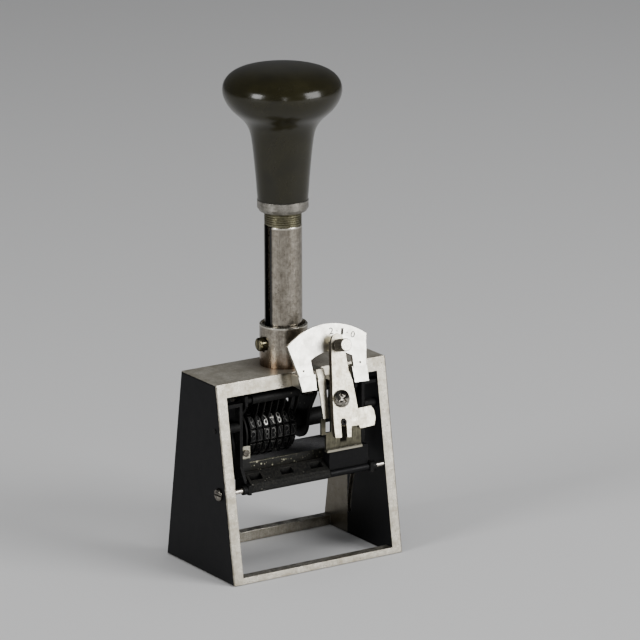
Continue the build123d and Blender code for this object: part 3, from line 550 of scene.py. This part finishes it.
bright_nickel = plated(
    "bright_nickel", rgb(0.78, 0.765, 0.70), rgb(0.52, 0.49, 0.40), 0.30, (1, 1, 0.1), 0.05, 0.20, 0.02
)
worn_nickel = plated(
    "worn_nickel", rgb(0.60, 0.575, 0.48), rgb(0.32, 0.285, 0.21), 0.30, (1, 1, 0.1), 0.06, 0.55, 0.05
)
satin_nickel = plated(
    "satin_nickel", rgb(0.40, 0.38, 0.34), rgb(0.13, 0.12, 0.10), 0.26, (0.06, 0.06, 1), 0.08, 0.5
)
dull_nickel = plated(
    "dull_nickel", rgb(0.20, 0.185, 0.155), rgb(0.06, 0.055, 0.044), 0.36, (1, 1, 0.05), 0.08, 0.8
)
dark_steel = plated(
    "dark_steel", rgb(0.30, 0.275, 0.23), rgb(0.030, 0.026, 0.022), 0.20, (1, 1, 1), 0.06, 0.9
)
dull_brass = plated("dull_brass", rgb(0.34, 0.325, 0.23), rgb(0.12, 0.11, 0.07), 0.34, (1, 1, 1), 0.08, 0.6)
brassy_pin = plated("brassy_pin", rgb(0.42, 0.37, 0.22), rgb(0.05, 0.042, 0.024), 0.18, (1, 1, 1), 0.06, 0.9)
polished_screw = plated(
    "polished_screw", rgb(0.62, 0.58, 0.50), rgb(0.028, 0.024, 0.020), 0.14, (1, 1, 1), 0.05, 0.8
)
black_metal = blackened("black_metal", rgb(0.0050, 0.0050, 0.0052), rgb(0.20, 0.19, 0.16), 0.44, 0.5)
inky_metal = blackened(
    "inky_metal", rgb(0.0085, 0.0085, 0.0082), rgb(0.22, 0.21, 0.18), 0.50, 0.6, 0.05, 0.8, 0.35
)
ink_and_shade_black = blackened("ink_and_shade_black", rgb(0.0055, 0.0055, 0.0055), rgb(0.14, 0.13, 0.11), 0.52, 0.5, 0.03, 0.5)
black_cover = blackened(
    "black_cover", rgb(0.0035, 0.0035, 0.004), rgb(0.12, 0.115, 0.10), 0.40, 0.3, 0.01, 0.15
)
type_black = blackened("type_black", rgb(0.0045, 0.0045, 0.005), rgb(0.40, 0.39, 0.36), 0.30, 0.9, 0.10, 0.4)

FINISHES = [
    (frame_finish(), ["frame"]),
    (tarnished("collar_nickel", FRAME_TOP + 2.0, 5.0, COLLAR_RIM, 0.0), ["collar"]),
    (tarnished("tube_nickel", FRAME_TOP - 12.0, 5.0, TUBE_RIM, 1.0), ["plunger_tube"]),
    (knob_plastic(), ["knob"]),
    (rod_finish(), ["cross_rod"]),
    (lever_finish(), ["setting_lever"]),
    (button_finish(), ["lever_button"]),
    (plate_finish(), ["mechanism_plate"]),
    (clip_finish(), ["pad_clip"]),
    (tray_finish(), ["pad_tray"]),
    (dull_brass, ["threaded_neck"]),
    (brassy_pin, ["guide_pin"]),
    (satin_nickel, ["ferrule"]),
    (bright_nickel, ["dial_sector"]),
    (worn_nickel, ["click_blade", "release_tab"]),
    (dull_nickel, ["dial_posts", "follower_pins", "wheel_axle"]),
    (polished_screw, ["pivot_screw", "side_screw"]),
    (dark_steel, ["spring_seat", "spring_cap", "return_spring", "cage_screws"]),
    (dark_steel, ["pawl_spring", "clip_screw"]),
    # Near-black: on the pawl shaft and feed pawl this is painted shade under the frame's top bar; the other
    # parts are inky.
    (ink_and_shade_black, ["tail_stud", "pawl_shaft", "detent_comb", "axle_spacers"]),
    (ink_and_shade_black, ["strip_rivets", "index_disc", "feed_pawl"]),
    (black_metal, ["guide_strip_right", "guide_strip_left", "cage_plate_right", "cage_plate_left"]),
    (black_metal, ["cage_plate_inner", "crosshead", "pad_arm_right", "pad_arm_left"]),
    (inky_metal, ["front_apron"]),
    (black_cover, ["side_cover"]),
    (type_black, [f"number_wheel_{i + 1}" for i in range(WHEELS)]),
]
for finish, nodes in FINISHES:
    for name in nodes:
        held = frame["nodes"][name].data.materials
        held.clear()
        held.append(finish)


# ---------------------------------------------------------------- figures


def glyph(character, width, height, depth, weight):
    """A figure's mesh, its box scaled to width and height about its middle, from 0 to depth."""
    curve = bpy.data.curves.new("glyph", "FONT")
    curve.body = character
    curve.extrude = 0.5
    curve.resolution_u = 3
    curve.offset = weight
    holder = bpy.data.objects.new("glyph", curve)
    bpy.context.scene.collection.objects.link(holder)
    depsgraph = bpy.context.evaluated_depsgraph_get()
    mesh = bpy.data.meshes.new_from_object(holder.evaluated_get(depsgraph))
    bpy.data.objects.remove(holder)
    bpy.data.curves.remove(curve)
    low = Vector([min(v.co[i] for v in mesh.vertices) for i in range(3)])
    high = Vector([max(v.co[i] for v in mesh.vertices) for i in range(3)])
    size = high - low
    middle = (low + high) / 2
    for vertex in mesh.vertices:
        u = (vertex.co.x - middle.x) / size.x * width
        v = (vertex.co.y - middle.y) / size.y * height
        vertex.co = (u, v, (vertex.co.z - low.z) / size.z * depth)
    return mesh


def join_in(built, mesh):
    """Moves the mesh into what is being built, and returns its vertices there."""
    start = len(built.verts)
    built.from_mesh(mesh)
    bpy.data.meshes.remove(mesh)
    built.verts.ensure_lookup_table()
    return built.verts[start:]


def wheel_type(index):
    """The raised figures round one wheel, back to front as type is."""
    low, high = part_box(f"number_wheel_{index + 1}")
    axle = (low + high) / 2
    middle_x = low.x + RIM_MIDDLE
    built = bmesh.new()
    for place in range(PLACES):
        digit = (FRONT_DIGITS[index] + 6 - place) % PLACES
        if digit >= DIGITS:
            continue
        width = TYPE_WIDTH_1 if digit == 1 else TYPE_WIDTH
        mesh = glyph(str(digit), width, TYPE_HEIGHT, TYPE_TIP - TYPE_ROOT, TYPE_WEIGHT)
        for vertex in join_in(built, mesh):
            u, v, rise = vertex.co
            angle = math.radians(360 / PLACES * place) + v / TYPE_TIP
            radius = TYPE_ROOT + rise
            y = axle.y + radius * math.cos(angle)
            z = axle.z + radius * math.sin(angle)
            vertex.co = (middle_x + u, y, z)
    bmesh.ops.reverse_faces(built, faces=built.faces)
    finish = worn_highlit_type if index in WORN_HIGHLIT_WHEELS else inked_type
    new_piece(f"wheel_{index + 1}_figures", built, finish, f"wheel_{index + 1}")


def new_piece(name, built, finish, body):
    """Makes an object of what is built, which rides on the body."""
    mesh = bpy.data.meshes.new(name)
    built.to_mesh(mesh)
    built.free()
    mesh.materials.append(finish)
    piece = bpy.data.objects.new(name, mesh)
    bpy.context.scene.collection.objects.link(piece)
    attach(piece, body)
    return piece


def dial_figures():
    """Figures 2, 1 and 0, with a dot between each two, stamped along the dial's rim."""
    joint = next(j for j in frame["joints"] if j["name"] == "lever_swing")
    outward = -Vector(joint["axis"]).normalized()
    right = Vector((1, 0, 0))
    up = outward.cross(right)
    pivot = Vector(joint["pos_m"])
    built = bmesh.new()
    for mark, degrees in DIAL_MARKS:
        if mark == ".":
            mesh = glyph(mark, DIAL_DOT, DIAL_DOT, DIAL_DEPTH, 0.0)
        else:
            width = DIAL_WIDTH_1 if mark == "1" else DIAL_WIDTH
            mesh = glyph(mark, width, DIAL_HEIGHT, DIAL_DEPTH, DIAL_WEIGHT)
        turn = math.radians(degrees)
        radial = up * math.cos(turn) + right * math.sin(turn)
        tangent = right * math.cos(turn) - up * math.sin(turn)
        for vertex in join_in(built, mesh):
            u, v, rise = vertex.co
            spot = pivot + radial * (DIAL_RADIUS + v) + tangent * u
            vertex.co = spot + outward * (rise - DIAL_DEPTH / 2)
    new_piece("dial_figures", built, stamped_metal, "frame_body")


worn_highlit_type = type_finish("worn_highlit_type", 1.0)
inked_type = type_finish("inked_type", 0.06)
stamped_metal = stamped_finish()
for index in range(WHEELS):
    wheel_type(index)
dial_figures()


# ---------------------------------------------------------------- felt pad


def felt_pad():
    """A block of felt with soft edges, crowned on top, its surface slightly uneven."""
    low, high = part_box("ink_pad")
    size = high - low
    centre = (low + high) / 2
    built = bmesh.new()
    bmesh.ops.create_cube(built, size=1.0)
    bmesh.ops.subdivide_edges(built, edges=built.edges, cuts=FELT_CUTS, use_grid_fill=True)
    for vertex in built.verts:
        p = vertex.co * 2
        soft = Vector([math.copysign(abs(c) ** 0.9, c) for c in p])
        corner = abs(p.x) ** 8 * abs(p.y) ** 8
        rim = abs(p.z) ** 10 * (abs(p.x) ** 12 + abs(p.y) ** 12)
        pull = 1 - FELT_ROUNDING * (corner + rim)
        spot = Vector((soft.x * size.x, soft.y * size.y, soft.z * size.z)) * 0.5 * pull
        if p.z > 0.98:
            crown = (1 - p.x ** 4) * (1 - p.y ** 4)
            spot.z += FELT_CROWN * crown - FELT_SINK
        spot += Vector(noise.noise_vector(spot * FELT_GRAIN)) * FELT_GRAIN_DEPTH
        vertex.co = centre + spot
    for face in built.faces:
        face.smooth = True
    pad = new_piece("felt_pad", built, felt_finish(), "pad_carrier")
    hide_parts("ink_pad")


felt_pad()


# ---------------------------------------------------------------- floor, light and camera


def stage_floor():
    mesh = bpy.data.meshes.new("floor")
    corners = [(-1, -1), (1, -1), (1, 1), (-1, 1)]
    mesh.from_pydata([(x * FLOOR_HALF, y * FLOOR_HALF, 0) for x, y in corners], [], [(0, 1, 2, 3)])
    g = Graph("floor_paint")
    g.set(Base_Color=rgb(0.74, 0.74, 0.74), Roughness=0.8, Specular_IOR_Level=0.15)
    mesh.materials.append(g.material)
    floor = bpy.data.objects.new("floor", mesh)
    bpy.context.scene.collection.objects.link(floor)
    floor.location.z = cad_low.z - FLOOR_GAP


def aim(obj, target):
    obj.rotation_mode = "QUATERNION"
    obj.rotation_quaternion = (target - obj.location).to_track_quat("-Z", "Y")


def softbox(name, azimuth, elevation, distance, size, power, glossy=True):
    """A soft light round the object; azimuth 0 is in front, 90 to the right."""
    light = bpy.data.lights.new(name, "AREA")
    light.shape = "RECTANGLE"
    light.size, light.size_y = size
    light.energy = power
    lamp = bpy.data.objects.new(name, light)
    bpy.context.scene.collection.objects.link(lamp)
    a, e = math.radians(azimuth), math.radians(elevation)
    toward = Vector((math.sin(a) * math.cos(e), -math.cos(a) * math.cos(e), math.sin(e)))
    lamp.location = LIGHT_AT + toward * distance
    lamp.visible_glossy = glossy
    aim(lamp, LIGHT_AT)


def add_world():
    world = bpy.data.worlds.new("studio")
    world.use_nodes = True
    background = world.node_tree.nodes["Background"]
    background.inputs["Color"].default_value = rgb(0.55, 0.56, 0.58)
    background.inputs["Strength"].default_value = 0.20
    bpy.context.scene.world = world


def add_camera():
    data = bpy.data.cameras.new("camera")
    data.lens = LENS
    data.sensor_width = 36
    data.clip_start, data.clip_end = 0.1, 60
    camera = bpy.data.objects.new("camera", data)
    bpy.context.scene.collection.objects.link(camera)
    a, e = LOOK_AZIMUTH, LOOK_ELEVATION
    back = Vector((-math.sin(a) * math.cos(e), -math.cos(a) * math.cos(e), math.sin(e)))
    camera.location = LOOK_AT + back * LOOK_DISTANCE
    camera.rotation_mode = "QUATERNION"
    roll = Quaternion((0, 0, 1), LOOK_ROLL)
    camera.rotation_quaternion = (-back).to_track_quat("-Z", "Y") @ roll
    bpy.context.scene.camera = camera


stage_floor()
# Degrees round and up, metres away, size in metres, and watts.
softbox("right_box", 30, 17, 1.6, (0.80, 0.90), 20)
softbox("left_box", -82, 16, 1.5, (0.5, 0.6), 12)
softbox("top_box", 10, 78, 1.6, (1.2, 1.2), 12, glossy=False)
softbox("tall_box", -27, 8, 2.1, (0.14, 0.7), 1.8)
add_world()
add_camera()
